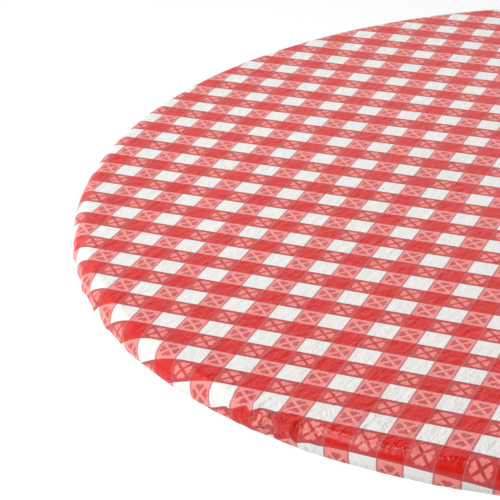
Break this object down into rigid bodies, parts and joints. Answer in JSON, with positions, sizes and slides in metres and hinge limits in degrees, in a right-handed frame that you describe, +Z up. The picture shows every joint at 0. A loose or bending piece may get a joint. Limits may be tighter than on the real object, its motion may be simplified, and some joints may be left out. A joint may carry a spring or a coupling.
{
  "type": "round table with fitted tablecloth",
  "caption": "Round pedestal table dressed in a fitted, elastic-edged vinyl tablecloth with a red and white check.",
  "frame": {"origin": "on the floor, under the centre of the table top", "axes": "+Z up, along the pedestal column; +X along the rows of checks; +Y along the columns of checks"},
  "size_m": [1.1204, 1.1204, 0.75],
  "materials": {
    "printed_vinyl": "satin PVC film printed with a red and white check and small petal motifs",
    "flannel": "brushed non-woven flannel backing",
    "binding_tape": "woven polyester binding tape",
    "elastic_braid": "braided elastic",
    "sewing_thread": "white polyester thread",
    "laminate": "plain satin laminate",
    "plywood": "bare plywood",
    "hardwood": "lacquered beech nosing",
    "black_iron": "black textured powder coat",
    "black_column": "black satin powder coat",
    "zinc_steel": "bright zinc plate",
    "nylon": "moulded black nylon"
  },
  "bodies": {
    "root": {"vinyl_face": "printed_vinyl", "flannel_backing": "flannel", "hem_binding": "binding_tape", "hem_elastic": "elastic_braid", "hem_stitching": "sewing_thread", "top_laminate": "laminate", "backer_laminate": "laminate", "tabletop_core": "plywood", "nosing_ring": "hardwood", "top_spider": "black_iron", "cross_base": "black_iron", "column_tube": "black_column", "tie_rod": "zinc_steel", "rod_washer": "zinc_steel", "rod_nut": "zinc_steel", "foot_glide_1": "nylon", "foot_glide_2": "nylon", "foot_glide_3": "nylon", "foot_glide_4": "nylon", "spider_screw_1": "zinc_steel", "spider_screw_2": "zinc_steel", "spider_screw_3": "zinc_steel", "spider_screw_4": "zinc_steel", "spider_screw_5": "zinc_steel", "spider_screw_6": "zinc_steel", "spider_screw_7": "zinc_steel", "spider_screw_8": "zinc_steel"}
  },
  "joints": []
}
